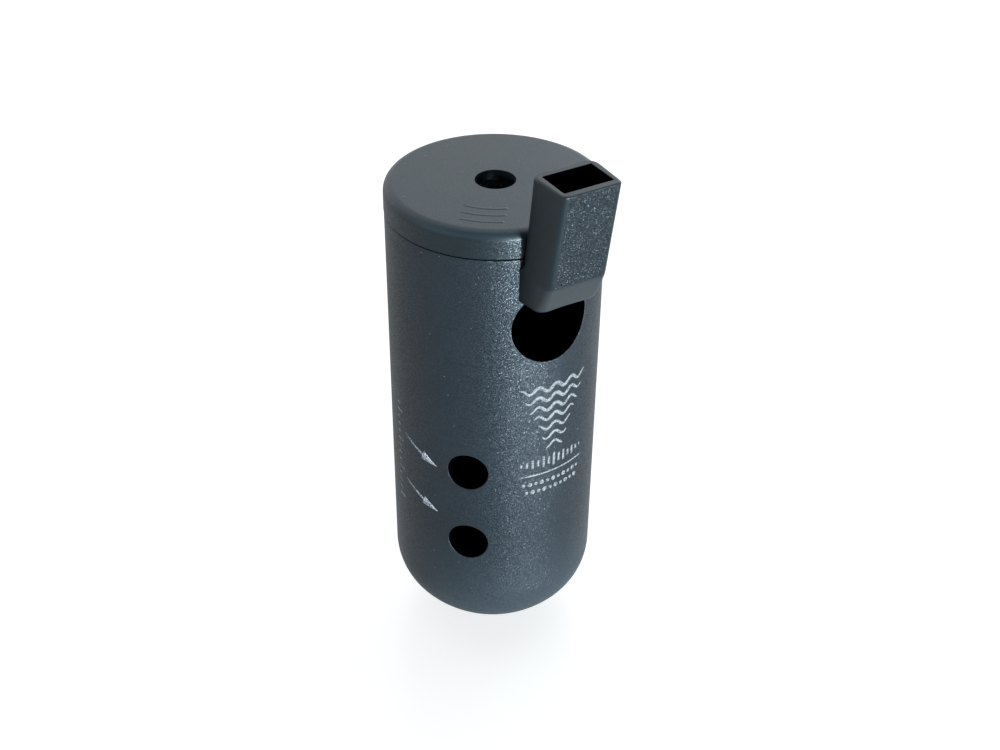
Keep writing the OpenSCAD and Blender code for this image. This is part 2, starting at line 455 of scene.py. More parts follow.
class Chamber:
    """The chamber's sections, worked out from its sizes."""

    unrolled = 25 * MM  # radius at which the unrolled wall is drawn
    crown_steps, shoulder_steps, edge_steps = 20, 18, 4
    fine = 0.1 * MM  # width of the narrow faces beside an edge
    foot_share = 0.97  # how far out on the foot its one inner ring lies
    gap_share, gap_room = 1.14, 1.5 * MM  # the gap is square, so it stands clear of the hole
    rub_height, rub_grain = (38 * MM, -8 * MM), 0.5 * MM  # where the painted floor reflection on the foot starts and is full, in what grain
    rub_varies, rub_least = 0.6, 0.5  # how much the grain changes the painted reflection, and its least

    def __init__(self, size):
        self.size = size
        self.shoulder_x = size.low_radius - size.shoulder
        full, round_ = size.dome_full, size.shoulder
        self.crown = (self.shoulder_x ** 2 + full ** 2 - round_ ** 2) / (2 * (full - round_))
        cut = self.crown - math.sqrt(self.crown ** 2 - size.foot ** 2)
        self.dome_z = full - cut
        self.crown_z = self.crown - cut
        self.crown_turn = math.atan2(self.shoulder_x, self.crown_z - self.dome_z)

    def side(self, z):
        """Outer radius at a height."""
        size = self.size
        along = (z - self.dome_z) / (size.height - self.dome_z)
        return between(size.low_radius, size.top_radius, along)

    def radius(self, z, depth):
        """Radius at a height and a depth below the outer skin."""
        size, outer = self.size, self.side(z)
        in_seat = z > size.height - size.seat_length
        inner = size.seat_radius if in_seat else outer - size.wall
        return between(outer, inner, depth / size.wall)

    def rolled(self, place):
        """From the unrolled wall, (arc, height, depth), to its place round the axis."""
        radius, turn = self.radius(place.y, place.z), place.x / self.unrolled
        return Vector((-radius * math.sin(turn), -radius * math.cos(turn), place.y))

    def sheet(self, bm, depth):
        """The unrolled wall at a depth, from the domed end to just below the open rim."""
        top = self.size.height - self.size.rim_edge
        middle, half = (self.dome_z + top) / 2, (top - self.dome_z) / 2
        rows = round(2 * half / (TURN * self.unrolled / COLUMNS))
        made = bmesh.ops.create_grid(bm, x_segments=COLUMNS, y_segments=rows, size=1)["verts"]
        bmesh.ops.scale(bm, vec=(math.pi * self.unrolled, half, 1), verts=made)
        bmesh.ops.translate(bm, vec=(0, middle, depth), verts=made)
        return made

    def opened(self, bm, sheet, arc, z, reach):
        """Takes the faces round a hole out of a sheet and gives the edges round the gap."""
        def near(face):
            middle = face.calc_center_median()
            return abs(middle.x - arc) < reach and abs(middle.y - z) < reach

        gone = {f for v in sheet if v.is_valid for f in v.link_faces if near(f)}
        gap = [e for e in {e for f in gone for e in f.edges} if len(set(e.link_faces) & gone) == 1]
        bmesh.ops.delete(bm, geom=list(gone), context="FACES")
        return gap

    def hole(self, bm, bearing, outer, inner, turn, z, radius):
        """A round cut through both skins and the wall between them, with a rounded outer edge.
        Each point of the gap is drawn inwards along its own bearing from the hole's middle."""
        size, arc, fine = self.size, turn * self.unrolled, self.fine
        edge, wall = size.hole_edge, size.wall
        gap_reach = radius * self.gap_share + self.gap_room

        def on_circle(point, reach, depth):
            across, up = reach * math.cos(point[bearing]), reach * math.sin(point[bearing])
            x = arc + self.unrolled * math.asin(across / self.radius(z + up, depth))
            return Vector((x, z + up, depth))

        rounding = [(radius + edge * (1 - sine), edge * rise)
                    for sine, rise in arc_points(self.edge_steps)]
        bores = (
            (outer, [(radius + edge + fine, 0), (radius + edge, 0)] + rounding
             + [(radius, edge + fine), (radius, wall / 2), (radius, wall - fine), (radius, wall)]),
            (inner, [(radius + 2 * fine, wall), (radius + fine, wall), (radius, wall)]),
        )
        for skin, levels in bores:
            ring = self.opened(bm, skin, arc, z, gap_reach)
            for point in {v for e in ring for v in e.verts}:
                point[bearing] = math.atan2(point.co.y - z, point.co.x - arc)
            for left in (4, 3, 2):  # three of four even steps towards the circle
                ring = drawn_out(bm, ring, lambda point, left=left: point.co.lerp(
                    on_circle(point, *levels[0]), 1 / left))
            for level in levels:
                ring = drawn_out(bm, ring, lambda point, level=level: on_circle(point, *level))

    def dome(self, bm, inset):
        """One skin of the domed end, turned round the axis; the outer one has the flat foot."""
        start = self.size.foot if not inset else 0
        crown = self.crown - inset
        first = math.asin(start / crown)
        before = set(bm.verts)
        tip = bm.verts.new((0, start, 0 if start else self.crown_z - crown))
        if start:
            middle = [bm.verts.new((0, start * share, 0)) for share in (self.foot_share, 0)]
            bm.edges.new((tip, middle[0]))
            bm.edges.new(middle)
        for centre, sweep, steps in (
                ((0, 0, self.crown_z), self.crown_turn - first, self.crown_steps),
                ((0, self.shoulder_x, self.dome_z), math.pi / 2 - self.crown_turn,
                 self.shoulder_steps)):
            made = bmesh.ops.spin(
                bm, geom=[tip], cent=centre, axis=(1, 0, 0), angle=sweep, steps=steps)
            tip = points_in(made["geom_last"])[0]
        outline = [point for point in bm.verts if point not in before]
        turned(bm, outline + list({edge for point in outline for edge in point.link_edges}))

    def open_rim(self, bm):
        """Rounds the wall's upper end and closes it between the two skins."""
        size = self.size
        start = size.height - size.rim_edge
        top = [e for e in bm.edges if e.is_boundary
               and all(abs(v.co.y - start) < 0.001 * MM for v in e.verts)]
        rim = [e for e in top if e.verts[0].co.z < size.wall / 2]
        levels = [(size.height - size.rim_edge * (1 - sine), size.rim_edge * rise)
                  for sine, rise in arc_points(self.edge_steps)]
        levels += [(size.height, size.rim_edge + self.fine), (size.height, size.wall)]
        for level in levels:
            rim = drawn_out(bm, rim, lambda point, level=level: Vector((point.co.x, *level)))
        drawn_out(bm, [e for e in top if e.verts[0].co.z > size.wall / 2],
                  lambda point: Vector((point.co.x, size.height, size.wall)))

    def build(self):
        """The whole shell: wall, open rim, holes and both skins of the dome. The inner walls
        below the plug's seat have the second material, painted dark as shade."""
        size = self.size
        bm = bmesh.new()
        bearing = bm.verts.layers.float.new("bearing")
        outer, inner = self.sheet(bm, 0), self.sheet(bm, size.wall)
        self.open_rim(bm)
        self.hole(bm, bearing, outer, inner, 0, size.window_height, size.window_radius)
        for i in range(2):
            height = size.finger_height + i * size.finger_pitch
            self.hole(bm, bearing, outer, inner, size.finger_turn, height, size.finger_radius)
        # Faces below the seat and deeper than the holes' edges take the dark painted-shade material
        for face in bm.faces:
            lowest = min(point.co.z for point in face.verts)
            below_seat = face.calc_center_median().y < size.height - size.seat_length
            face.material_index = int(below_seat and lowest > 0.9 * size.hole_edge)
        for point in bm.verts:
            point.co = self.rolled(point.co)
        self.dome(bm, 0)
        walls = set(bm.faces)
        self.dome(bm, size.wall)
        for face in bm.faces:
            if face not in walls:
                face.material_index = 1
        bm.verts.layers.float.remove(bearing)
        closed(bm)
        return bm


class MakeChamber(bpy.types.Operator):
    """Model the chamber's shell with its window and finger holes"""
    bl_idname = "bird_call.chamber"
    bl_label = "Chamber"

    def execute(self, context):
        scene = context.scene
        made = Chamber(scene.chamber_sizes)
        colours = scene.call_colours

        def on_foot(finish):
            """Painted reflection and bounce light from the floor: grows down the domed end to the
            foot, with the grain's tips first.
            """
            worn = finish.step(finish.height(), *made.rub_height)
            return worn * (finish.noise(made.rub_grain, 2.0) * made.rub_varies + made.rub_least)

        # The foot colour on the domed end is painted floor light
        finish = grained_plastic("Chamber plastic", colours, colours.slate, colours.slate_light,
                                 second=(on_foot, colours.foot))
        # Painted shade for the inner walls
        inside = shaded_plastic("Chamber inside", colours)
        piece(made.build(), "chamber_shell", "call_body", "chamber_plastic", finish, inside,
              replaces="chamber", even=False)
        return {"FINISHED"}


class Mouthpiece:
    """The mouthpiece's levels, worked out from its sizes; reach is the distance from the axis."""

    sunk = 0.12 * MM  # how deep the back is sunk in the chamber's skin
    soft = 1.2 * MM  # half the height of the soft turn above the band
    swell_height = 4.5 * MM  # height over which the lip's rounder corners end
    duct_corner, slit_corner, duct_edge = 0.25 * MM, 0.2 * MM, 0.15 * MM
    wall_levels, rim_levels, edge_levels = 24, 9, 6
    back_segments, front_segments, side_cuts = 6, 5, 7
    # The flat front: its share of the corners' rounding, how far below the band's top it may
    # start, and how squarely it has to face forwards
    flat_share, flat_low, flat_facing = 0.8, 0.1 * MM, 0.9
    # Where a finish starts and is full: below the band's top, ahead of the back and below the
    # rim for the pale plastic painted as reflection, and in from the sides and the rim for the
    # front's grain
    pale_low, pale_ahead, pale_rim = (-0.5 * MM, 0.7 * MM), (1 * MM, 5 * MM), (1 * MM, 0.4 * MM)
    grain_in, grain_below = (0.6 * MM, 1.8 * MM), (0.4 * MM, 1.8 * MM)

    def __init__(self, size, chamber):
        self.size, self.chamber = size, chamber
        self.band_z = size.low + size.band
        front_height = size.rim - size.rim_drop - self.band_z
        self.band_reach = size.rim_front - front_height * math.tan(size.front_lean)

    def front(self, z):
        """Reach of the front face or of the band, with a soft turn between them."""
        upper = math.tan(self.size.front_lean)
        lower = (self.band_reach - self.size.lip) / self.size.band
        off = z - self.band_z
        if abs(off) < self.soft:
            turned = (off + self.soft) ** 2 / (4 * self.soft)
            return self.band_reach + lower * off + (upper - lower) * turned
        return self.band_reach + (upper if off > 0 else lower) * off

    def front_half(self, z):
        size = self.size
        up = (max(z, self.band_z) - self.band_z) / (size.rim - self.band_z)
        return between(size.front_half_band, size.front_half_rim, up)

    def back(self, z):
        """Radius of the back face above the ledge."""
        return self.size.back_radius + (z - self.size.shoulder) * math.tan(self.size.back_lean)

    def above_ledge(self, z):
        """0 at the ledge and below it, 1 at the rim."""
        return limited((z - self.size.shoulder) / (self.size.rim - self.size.shoulder))

    def back_half(self, z, radius):
        """Half width where the side face, drawn on backwards, meets a radius round the axis."""
        size = self.size
        half = between(size.back_half_ledge, size.back_half_rim, self.above_ledge(z))
        back = self.back(max(z, size.shoulder))
        front = Vector((self.front_half(z), self.front(z)))
        along = Vector((half, math.sqrt(back ** 2 - half ** 2))) - front
        a, b, c = along.dot(along), 2 * front.dot(along), front.dot(front) - radius ** 2
        return (front + along * (-b - math.sqrt(b ** 2 - 4 * a * c)) / (2 * a)).x

    def ring(self, z, reach, half, back, back_half, front_round, back_round, bent, tilt, arch):
        """The places of one level, from the middle of its front round by +X: four corners with
        rounded edges, its back bent round the axis, its front tilted down and arched up."""
        size, flat = self.size, bmesh.new()
        chord = math.sqrt(back ** 2 - back_half ** 2) if bent else back
        corners = [flat.verts.new(place) for place in (
            (-back_half, chord, 0), (back_half, chord, 0), (half, reach, 0), (-half, reach, 0))]
        flat.faces.new(corners)
        rounded(flat, corners[:2], back_round, self.back_segments)
        rounded(flat, corners[2:], front_round, self.front_segments)
        sides = sorted(flat.edges, key=lambda edge: -edge.calc_length())[:4]
        bmesh.ops.subdivide_edges(flat, edges=sides, cuts=self.side_cuts, use_grid_fill=False)
        walk = [min(flat.verts, key=lambda point: (round(abs(point.co.x), 6), -point.co.y))]
        beside = [e.other_vert(walk[0]) for e in walk[0].link_edges]
        walk.append(max(beside, key=lambda point: point.co.x))
        while len(walk) < len(flat.verts):
            beside = [e.other_vert(walk[-1]) for e in walk[-1].link_edges]
            walk += [point for point in beside if point != walk[-2]]
        places = []
        for x, u, _ in (point.co for point in walk):
            if bent:
                arc = math.sqrt(max(back ** 2 - x ** 2, 0))
                u = reach - (reach - u) * (reach - arc) / (reach - chord)
            lean = tilt * (u - size.back_radius) / (size.rim_front - size.back_radius)
            lift = arch * (1 - min(abs(x) / half, 1) ** 2) * (u - chord) / (reach - chord)
            places.append(Vector((x, -u, z - lean + lift)))
        flat.free()
        return places

    def outside(self):
        """Levels of the outer skin from the lip to the rim's top."""
        size, levels = self.size, []

        def level(z, side_in=0.0, front_in=0.0, back_in=0.0, tilt=0.0):
            """The back is sunk in the chamber's skin below the ledge and stands clear above it."""
            up = limited((z - size.shoulder + size.ledge) / size.ledge)
            free = up ** 2 * (3 - 2 * up)
            swell = max(1 - (z - size.low) / self.swell_height, 0)
            buried = self.chamber.side(min(z, self.chamber.size.height)) - self.sunk
            back = between(buried, self.back(z), free)
            edge = between(size.back_edge_low, size.back_edge, self.above_ledge(z))
            levels.append((
                z, self.front(z) - front_in, self.front_half(z) - side_in,
                back + back_in, self.back_half(z, back) - side_in,
                size.front_edge + size.corner_swell * swell ** 2 - front_in * 0.5,
                between(self.sunk / 2, edge, free) - back_in,
                True, tilt, size.lip_arch * swell))

        for sine, rise in [(0, 0)] + arc_points(self.edge_levels):
            inset = 1 - sine
            level(size.low + size.low_corner * rise, size.low_corner * inset,
                  size.lip_edge * inset)
        start = size.low + size.low_corner
        for step in range(1, self.wall_levels + 1):
            level(between(start, size.shoulder, step / self.wall_levels))
        for step in range(1, self.rim_levels + 1):
            part = step / self.rim_levels
            level(between(size.shoulder, size.rim - size.rim_edge, part), tilt=size.rim_drop * part)
        for sine, rise in arc_points(self.edge_levels):
            inset = size.rim_edge * rise
            level(size.rim - size.rim_edge * (1 - sine), inset, inset, inset, size.rim_drop)
        return levels

    def inside(self):
        """Levels of the air duct from the rim's top to the slit."""
        size, edge, corner = self.size, self.duct_edge, self.duct_corner
        top = size.low + size.slit_length
        levels = []
        for grown, drop in ((edge, 0), (edge * 0.3, edge * 0.3), (0, edge)):
            half = size.opening_half + grown
            levels.append((
                size.rim - drop, size.opening_front + grown, half, size.opening_back - grown, half,
                corner, corner, False, size.rim_drop, 0))
        up = (self.band_z - top) / (size.rim - top)
        half = between(size.slit_half, size.opening_half, up)
        back = between(size.slit_back, size.opening_back, up)
        levels.append((self.band_z, self.band_reach - size.front_wall, half, back, half,
                       corner, corner, False, 0, 0))
        for z, arch in ((top, 0), (size.low, size.lip_arch)):
            levels.append((z, size.slit_front, size.slit_half, size.slit_back, size.slit_half,
                           self.slit_corner, self.slit_corner, False, 0, arch))
        return levels

    def build(self):
        """Draws the first level's ring out from level to level and back on to itself. The duct
        has the second material, painted dark as shade, and the flat front above the band the third."""
        size, bm = self.size, bmesh.new()
        order = bm.verts.layers.int.new("order")
        outside = [self.ring(*level) for level in self.outside()]
        levels = outside + [self.ring(*level) for level in self.inside()]
        made = bmesh.ops.create_circle(bm, segments=len(levels[0]), radius=1)["verts"]
        for number, point in enumerate(made):
            point[order] = number
            point.co = levels[0][number]
        ring = bm.edges[:]
        for number, level in enumerate(levels[1:] + levels[:1]):
            ring = drawn_out(bm, ring, lambda point, level=level: level[point[order]])
            for face in {f for edge in ring for f in edge.link_faces}:
                face.material_index = int(number > len(outside))
        bm.verts.layers.int.remove(order)
        closed(bm, 0.001 * MM)
        bm.normal_update()
        flat_half = size.front_half_rim - self.flat_share * size.front_edge
        for face in bm.faces:
            flat = all(abs(v.co.x) < flat_half for v in face.verts)
            above = all(v.co.z > self.band_z - self.flat_low for v in face.verts)
            forwards = face.normal.y < -self.flat_facing
            if flat and above and forwards and not face.material_index:
                face.material_index = 2
        return bm


class MakeMouthpiece(bpy.types.Operator):
    """Model the mouthpiece with its rounded edges and its air duct"""
    bl_idname = "bird_call.mouthpiece"
    bl_label = "Mouthpiece"

    def execute(self, context):
        scene = context.scene
        size, colours = scene.mouthpiece_sizes, scene.call_colours
        made = Mouthpiece(size, Chamber(scene.chamber_sizes))

        def on_band(finish):
            """1 on the sloped band below the front face, and half of that on the rim: where a paler
            colour is painted as reflection of the floor and the backdrop.
            """
            x, y, z = finish.parts(finish.place())
            low = finish.step(z, *[made.band_z - below for below in made.pale_low])
            ahead = finish.step(-1 * y, *[size.back_radius + off for off in made.pale_ahead])
            rim = finish.step(z, *[size.rim - off for off in made.pale_rim])
            return low * ahead + rim * 0.5

        def on_front(finish):
            """1 on the front face, and half of that at its sides and its top."""
            x, y, z = finish.parts(finish.place())
            within = finish.step(finish.maths("ABSOLUTE", x),
                                 *[size.front_half_rim - off for off in made.grain_in])
            below = finish.step(z, *[size.rim - off for off in made.grain_below])
            return within * below * 0.5 + 0.5

        # The band and the rim take a paler colour painted as reflection
        smooth = grained_plastic("Mouthpiece plastic", colours, colours.mouth, colours.slate,
                                 grain=0.15, second=(on_band, colours.rubbed))
        # Painted shade for the air duct
        inside = shaded_plastic("Air duct", colours)
        front = grained_plastic(
            "Mouthpiece front", colours, colours.mouth_front, colours.front_light,
            gloss=0.46, grain=2.2, size=1.4, mask=on_front)
        piece(made.build(), "mouthpiece_shell", "call_body", "mouthpiece_plastic",
              smooth, inside, front, replaces="mouthpiece")
        return {"FINISHED"}


TONE_HOLE_LOW_EDGE = 0.15 * MM  # rounding of the tone hole's lower rim
# Heights below the cap's top, in shares of its edge's radius, where the side's grain and the top's
# painted light start and are full
SIDE_FINISH, TOP_FINISH = (0.6, 1.1), (0.9, 0.5)
TOP_GRAIN = 0.3  # how much of the side's grain the top has


class MakeCap(bpy.types.Operator):
    """Model the cap with its tone hole and its plug"""
    bl_idname = "bird_call.cap"
    bl_label = "Cap"

    def execute(self, context):
        scene = context.scene
        size, colours = scene.cap_sizes, scene.call_colours
        top, under = cap_high.z, cap_high.z - size.plate
        outline = (  # radius, height, rounding and its segments
            (size.hole_radius, under, TONE_HOLE_LOW_EDGE, 4),
            (size.hole_radius, top, size.hole_edge, 4),
            (size.radius, top, size.edge, 8),
            (size.radius, size.joint, size.low_edge, 4),
            (size.plug_radius, size.joint, 0, 0),
            (size.plug_radius, cap_low.z + size.lead, 0, 0),
            (size.plug_radius - size.lead, cap_low.z, 0, 0),
            (size.plug_bore, cap_low.z, 0, 0),
            (size.plug_bore, under, 0, 0),
        )
        bm = bmesh.new()
        corners = [bm.verts.new((0, radius, z)) for radius, z, _, _ in outline]
        bm.faces.new(corners)
        for corner, (_, _, radius, segments) in zip(corners, outline):
            if radius:
                rounded(bm, [corner], radius, segments)
        bmesh.ops.delete(bm, geom=bm.faces[:], context="FACES_ONLY")
        turned(bm, bm.verts[:] + bm.edges[:])
        closed(bm)
        for face in bm.faces:
            face.material_index = int(face.calc_center_median().z < size.joint + 0.01 * MM)

        def on_side(finish):
            """1 on the cap's side, a little on its satin top."""
            side = finish.step(finish.height(), *[top - part * size.edge for part in SIDE_FINISH])
            return side * (1 - TOP_GRAIN) + TOP_GRAIN

        def on_top(finish):
            """1 on the cap's top, down to where its edge turns into the side: where a paler colour
            is painted for the light on the top.
            """
            return finish.step(finish.height(), *[top - part * size.edge for part in TOP_FINISH])

        finish = grained_plastic(
            "Cap plastic", colours, colours.cap, toned(colours.cap, 1.6),
            gloss=1.25, grain=0.75, mask=on_side, second=(on_top, colours.cap_top))
        plug = grained_plastic("Cap plug", colours, colours.cap, colours.slate_light, grain=0.3)
        piece(bm, "cap_shell", "cap", "cap_plastic", finish, plug, replaces="end_cap")
        return {"FINISHED"}


RIDGES = ((14.2, 40), (17.2, 34), (20.2, 28))  # radius in millimetres and sweep in degrees
RIDGES_TURN = math.radians(-40)  # where the middle of the ridges lies, from the front
RIDGE_STEPS = 24
# The ridges' section: shares of half the width and of the height
RIDGE_SECTION = ((-1, -1), (-0.62, 0.75), (-0.25, 1), (0.25, 1), (0.62, 0.75), (1, -1))


class MakeCapWaves(bpy.types.Operator):
    """Model the low curved ridges on the cap's top"""
    bl_idname = "bird_call.cap_waves"
    bl_label = "Cap ridges"

    def execute(self, context):
        size = context.scene.cap_sizes
        bm = bmesh.new()
        half, rise = size.wave_width / 2, size.wave_height
        for radius, sweep in RIDGES:
            radius, sweep = radius * MM, math.radians(sweep)
            section = [bm.verts.new((0, -radius + half * off, cap_high.z + rise * up))
                       for off, up in RIDGE_SECTION]
            face = bm.faces.new(section)
            bmesh.ops.rotate(bm, verts=section, cent=(0, 0, 0),
                             matrix=Matrix.Rotation(RIDGES_TURN - sweep / 2, 3, "Z"))
            bmesh.ops.spin(bm, geom=[face], cent=(0, 0, 0), axis=(0, 0, 1), angle=sweep,
                           steps=RIDGE_STEPS)
        closed(bm)
        piece(bm, "cap_waves", "cap", "cap_plastic", bpy.data.materials["Cap plastic"])
        return {"FINISHED"}


class Ink:
    """Print on the chamber's side, drawn on the unrolled wall: right and height in metres."""

    root = 0.06 * MM  # how deep in the plastic the ink starts
    stride = 0.8 * MM  # about how long a step of a straight line is
    hair, dot_steps = 0.02 * MM, 12  # least width of a dot's strip, and its steps

    def __init__(self, chamber, lift):
        self.chamber, self.lift, self.bm = chamber, lift, bmesh.new()

    def strip(self, path, widths):
        """A line of ink along a path, with a width at each point."""
        rows = len(path) - 1
        made = bmesh.ops.create_grid(self.bm, x_segments=2, y_segments=rows, size=1)["verts"]
        for point in made:
            row = round((point.co.y + 1) / 2 * rows)
            side = round(point.co.x)
            before, after = path[max(row - 1, 0)], path[min(row + 1, rows)]
            along = (Vector(after) - Vector(before)).normalized()
            across = Vector((along.y, -along.x))
            place = Vector(path[row]) + across * side * widths[row] / 2
            point.co = (-place.x, place.y, self.root)
        faces = list({f for v in made for f in v.link_faces})
        raised = bmesh.ops.extrude_face_region(self.bm, geom=faces)["geom"]
        for point in points_in(raised):
            point.co.z = -self.lift

    def bar(self, start, end, width):
        """A straight line, in steps that are short enough to follow the wall."""
        start, end = Vector(start), Vector(end)
        steps = max(1, round((end - start).length / self.stride))
        path = [tuple(start.lerp(end, i / steps)) for i in range(steps + 1)]
        self.strip(path, [width] * (steps + 1))

    def dot(self, centre, radius):
        """A round spot, drawn as a strip that swells and narrows."""
        turns = [math.pi * i / self.dot_steps for i in range(self.dot_steps + 1)]
        path = [(centre[0], centre[1] - radius * math.cos(t)) for t in turns]
        self.strip(path, [max(2 * radius * math.sin(t), self.hair) for t in turns])

    def done(self, name, material):
        """Rolls the print round the chamber and makes it a piece."""
        for point in self.bm.verts:
            depth = point.co.z
            place = self.chamber.rolled(Vector((point.co.x, point.co.y, 0)))
            out = Vector((place.x, place.y, 0)).normalized()
            point.co = place - out * depth
        closed(self.bm)
        piece(self.bm, name, "call_body", "chamber_plastic", material, even=False)


# The lower arrow, in millimetres to the right of the front's middle and above the arrow's tip
ARROW_TAIL, ARROW_BEND = (-38.9, 4.6), (-35.65, 3.05)
ARROW_NECK, ARROW_TIP = (-32.3, 1.65), (-27.95, 0)
SHAFT_STEPS, HEAD_STEPS = 10, 8
SHAFT_WIDTH, SHAFT_GAIN, HEAD_WIDTH, TIP_WIDTH = 0.25, 0.45, 2.6, 0.03
SHAFT_SWELL = 1.6  # how fast the shaft comes to its full width
NECK_GAP = 0.002  # keeps the head's first point off the shaft's last


class MakeArrows(bpy.types.Operator):
    """Print the two curved arrows that point to the finger holes"""
    bl_idname = "bird_call.arrows"
    bl_label = "Arrows"

    def execute(self, context):
        scene = context.scene
        size, colours = scene.print_sizes, scene.call_colours
        ink = Ink(Chamber(scene.chamber_sizes), size.lift)
        path, widths = [], []
        for step in range(SHAFT_STEPS + 1):
            t = step / SHAFT_STEPS
            path.append([(1 - t) ** 2 * a + 2 * t * (1 - t) * b + t ** 2 * c
                         for a, b, c in zip(ARROW_TAIL, ARROW_BEND, ARROW_NECK)])
            widths.append((SHAFT_WIDTH + SHAFT_GAIN * min(1, t * SHAFT_SWELL)) * MM)
        for step in range(HEAD_STEPS + 1):
            t = step / HEAD_STEPS
            path.append([between(a, b, t) + (0 if step else NECK_GAP)
                         for a, b in zip(ARROW_NECK, ARROW_TIP)])
            widths.append((HEAD_WIDTH * (1 - t) + TIP_WIDTH) * MM)
        for i in range(2):
            height = size.arrow_height + i * size.arrow_pitch
            ink.strip([(x * MM, height + y * MM) for x, y in path], widths)
        # The arrows' ink is painted brighter to stand in for light that side of the wall lacks
        ink.done("printed_arrows", ink_finish("Arrow ink", colours, colours.arrow_ink))
        return {"FINISHED"}


# The printed marks in millimetres. Drops are measured down from the lowest wave
MARK_MIDDLE = 1.6  # to the right of the front's middle
WAVES, WAVE_PITCH, WAVE_SWING = 7, 2.7, 0.75
WAVE_REACH, WAVE_GAIN = 2.4, 1.15  # half the lowest wave's width, and what each next one gains
WAVE_TIP, WAVE_WIDTH, WAVE_WIDTH_GAIN = 0.16, 0.5, 0.05
WAVE_STEPS, WAVE_STEPS_GAIN, WAVE_TURN_GAIN = 18, 8, 0.5
BAR_HEIGHTS = (0.8, 1.6, 2.6, 1.7, 3.1, 2.2, 3.6, 2.4, 3.0, 1.7, 2.4, 1.2, 0.7)
BAR_PITCH, BAR_DROP, BAR_WIDTH = 1.45, 4.6, 0.62
RULE_HALF, RULE_DROP, RULE_WIDTH = 9.2, 7.9, 0.4
DOTS, DOT_PITCH, DOT_DROP, DOT_ROW = 11, 1.6, 10.4, 2.3
DOT_RADII = (0.45, 0.62)
TICKS, TICK_PITCH, TICK_LOW, TICK_LEFT, TICK_WIDTH = 14, 2.1, 39, -42.6, 0.4
TICK_LENGTHS = (2.6, 1.5, 1.5, 1.5)


class MakePrint(bpy.types.Operator):
    """Print the waves, bars and dots below the window and the ticks at the side"""
    bl_idname = "bird_call.printed_marks"
    bl_label = "Printed marks"

    def execute(self, context):
        scene = context.scene
        size, colours = scene.print_sizes, scene.call_colours
        chamber = Chamber(scene.chamber_sizes)
        ink = Ink(chamber, size.lift)

        def at(right, up):
            """A place in metres, from millimetres off the middle of the lowest wave."""
            return (MARK_MIDDLE + right) * MM, size.mark_height + up * MM

        for i in range(WAVES):
            reach, steps = WAVE_REACH + WAVE_GAIN * i, WAVE_STEPS + WAVE_STEPS_GAIN * i
            path, widths = [], []
            for step in range(steps + 1):
                off = 2 * step / steps - 1
                swing = WAVE_SWING * math.cos(off * math.pi * (1 + WAVE_TURN_GAIN * i))
                swell = (WAVE_WIDTH + WAVE_WIDTH_GAIN * i) * math.sqrt(1 - off ** 2)
                path.append(at(reach * off, WAVE_PITCH * i + swing))
                widths.append((WAVE_TIP + swell) * MM)
            ink.strip(path, widths)
        for i, tall in enumerate(BAR_HEIGHTS):
            right = (i - len(BAR_HEIGHTS) // 2) * BAR_PITCH
            ink.bar(at(right, -(BAR_DROP + tall / 2)), at(right, -(BAR_DROP - tall / 2)),
                    BAR_WIDTH * MM)
        ink.bar(at(-RULE_HALF, -RULE_DROP), at(RULE_HALF, -RULE_DROP), RULE_WIDTH * MM)
        for row in range(2):
            for i in range(DOTS - row):
                right = (i - DOTS // 2 + row / 2) * DOT_PITCH
                ink.dot(at(right, -(DOT_DROP + DOT_ROW * row)), DOT_RADII[i % 2] * MM)
        ink.done("printed_marks", ink_finish("Mark ink", colours, colours.ink))

        side = Ink(chamber, size.lift)
        for i in range(TICKS):
            z, right = (TICK_LOW + TICK_PITCH * i) * MM, TICK_LEFT + TICK_LENGTHS[i % 4]
            side.bar((TICK_LEFT * MM, z), (right * MM, z), TICK_WIDTH * MM)
        side.done("printed_ticks", bpy.data.materials["Arrow ink"])
        return {"FINISHED"}


# Stage, in metres, watts and degrees

LIGHTS = (  # name, turn from the camera's side, elevation, distance, width, height, power
    ("Key light", 34, -1.5, 0.8, 0.13, 0.08, 8.3),
    ("Fill light", 36, 4, 0.75, 0.15, 0.3, 4.2),
    ("Back light", 150, 30, 0.75, 0.45, 0.45, 1.2),
)
LIGHTS_AIM = Vector((0, 0, 0.065))
LAMP_SHADE = (0.9, 0.96, 1.0)
VIEW_TURN = math.radians(31.6)  # how far the camera stands to the left of the front
CAMERA_PLACE = (-0.179335, -0.291505, 0.293563)
CAMERA_LOOK = Vector((0.439952, 0.708104, -0.552297))
CAMERA_UP = Vector((0.282414, 0.474713, 0.8336))
LENS, SENSOR = 60.971, 36  # in millimetres
FLOOR_REACH, FLOOR_PATCH, FLOOR_ROUGHNESS = 3.0, 0.4, 0.25
FLOOR_GLOW, FLOOR_MIRRORED = 0.7, 0.2
BACK_LIFT = 0.55  # how much of what comes from above counts as from behind
BACK_EDGE, ASIDE_EDGE = (0.3, 0.7), (0.45, 0.75)  # where the pale backdrop starts and is full
ASIDE_SHARE, SKY_STRENGTH, SKY_LEAST = 0.4, 0.9, 0.08


def seen_rays(finish, mirrored):
    """1 for rays from the camera, and mirrored for rays from a shiny or a clear surface."""
    seen = finish.add("LightPath", output="Is Camera Ray")
    outputs = seen.socket.node.outputs
    for name in ("Is Glossy Ray", "Is Transmission Ray"):
        seen = finish.maths("MAXIMUM", seen, Link(finish, outputs[name]) * mirrored)
    return seen


